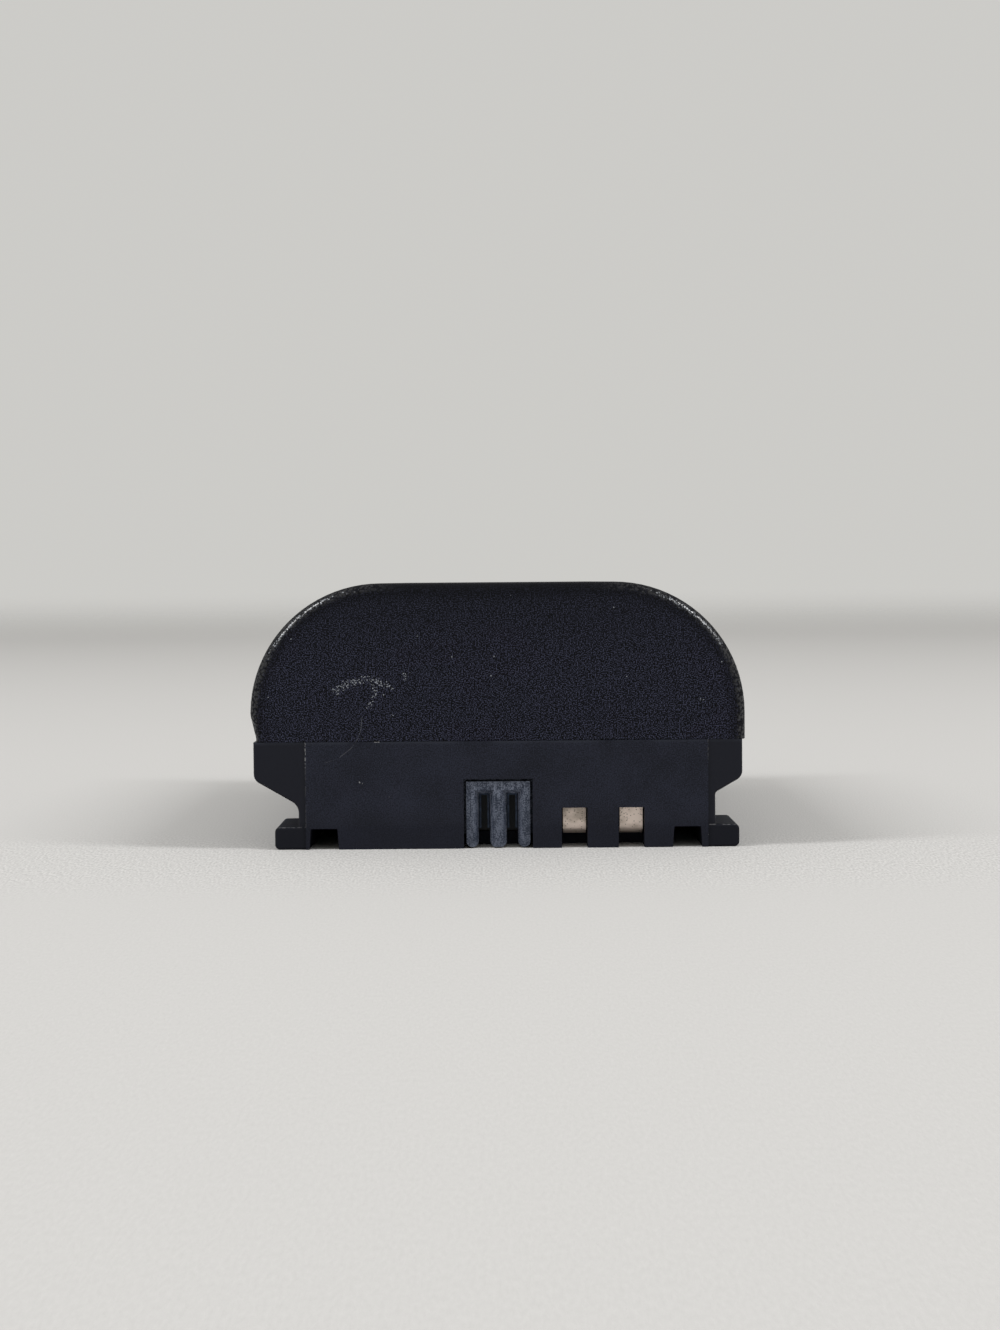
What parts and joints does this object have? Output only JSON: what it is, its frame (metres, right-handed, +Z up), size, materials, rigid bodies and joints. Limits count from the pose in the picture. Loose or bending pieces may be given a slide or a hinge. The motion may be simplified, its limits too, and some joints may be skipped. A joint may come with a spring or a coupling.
{
  "type": "camera battery",
  "caption": "Slide-on camera battery with a domed textured shell, a railed base, a slotted terminal block and formed metal contacts.",
  "frame": {"origin": "centre of the bounding box at the bottom, on the surface that the rails stand on", "axes": "+Z up, +Y from the contact end to the rear along the length, +X to the right when facing the contact end"},
  "size_m": [0.0382, 0.0556, 0.0205],
  "materials": {
    "shell_plastic": "fine spark-eroded grain, worn at the rim",
    "base_plastic": "smooth satin moulding",
    "terminal_plastic": "fine matt grain",
    "contact_metal": "plated copper alloy, dulled and tarnished",
    "cell_can": "drawn nickel-plated steel",
    "insulating_paper": "pressed insulating paper",
    "nickel_strip": "bare rolled nickel",
    "lead_sleeve": "soft insulation",
    "board_laminate": "dark solder mask",
    "chip_plastic": "moulded resin",
    "fuse_ceramic": "white ceramic",
    "capacitor_ceramic": "tan ceramic",
    "bead_resin": "dipped resin",
    "foam": "closed-cell foam"
  },
  "bodies": {
    "root": {"upper_shell": "shell_plastic", "base_shell": "base_plastic", "terminal_block": "terminal_plastic", "positive_contact": "contact_metal", "negative_contact": "contact_metal", "signal_contact_left": "contact_metal", "signal_contact_right": "contact_metal", "cell_left": "cell_can", "cell_right": "cell_can", "vent_washer_left": "insulating_paper", "vent_washer_right": "insulating_paper", "series_link": "nickel_strip", "positive_tab": "nickel_strip", "negative_tab": "nickel_strip", "sense_lead": "lead_sleeve", "protection_board": "board_laminate", "gauge_controller": "chip_plastic", "protection_controller": "chip_plastic", "charge_mosfet": "chip_plastic", "discharge_mosfet": "chip_plastic", "sense_resistor": "chip_plastic", "chip_fuse": "fuse_ceramic", "chip_capacitors": "capacitor_ceramic", "thermistor": "bead_resin", "front_insulator": "insulating_paper", "rear_insulator": "insulating_paper", "cushion_strip": "foam"}
  },
  "joints": []
}
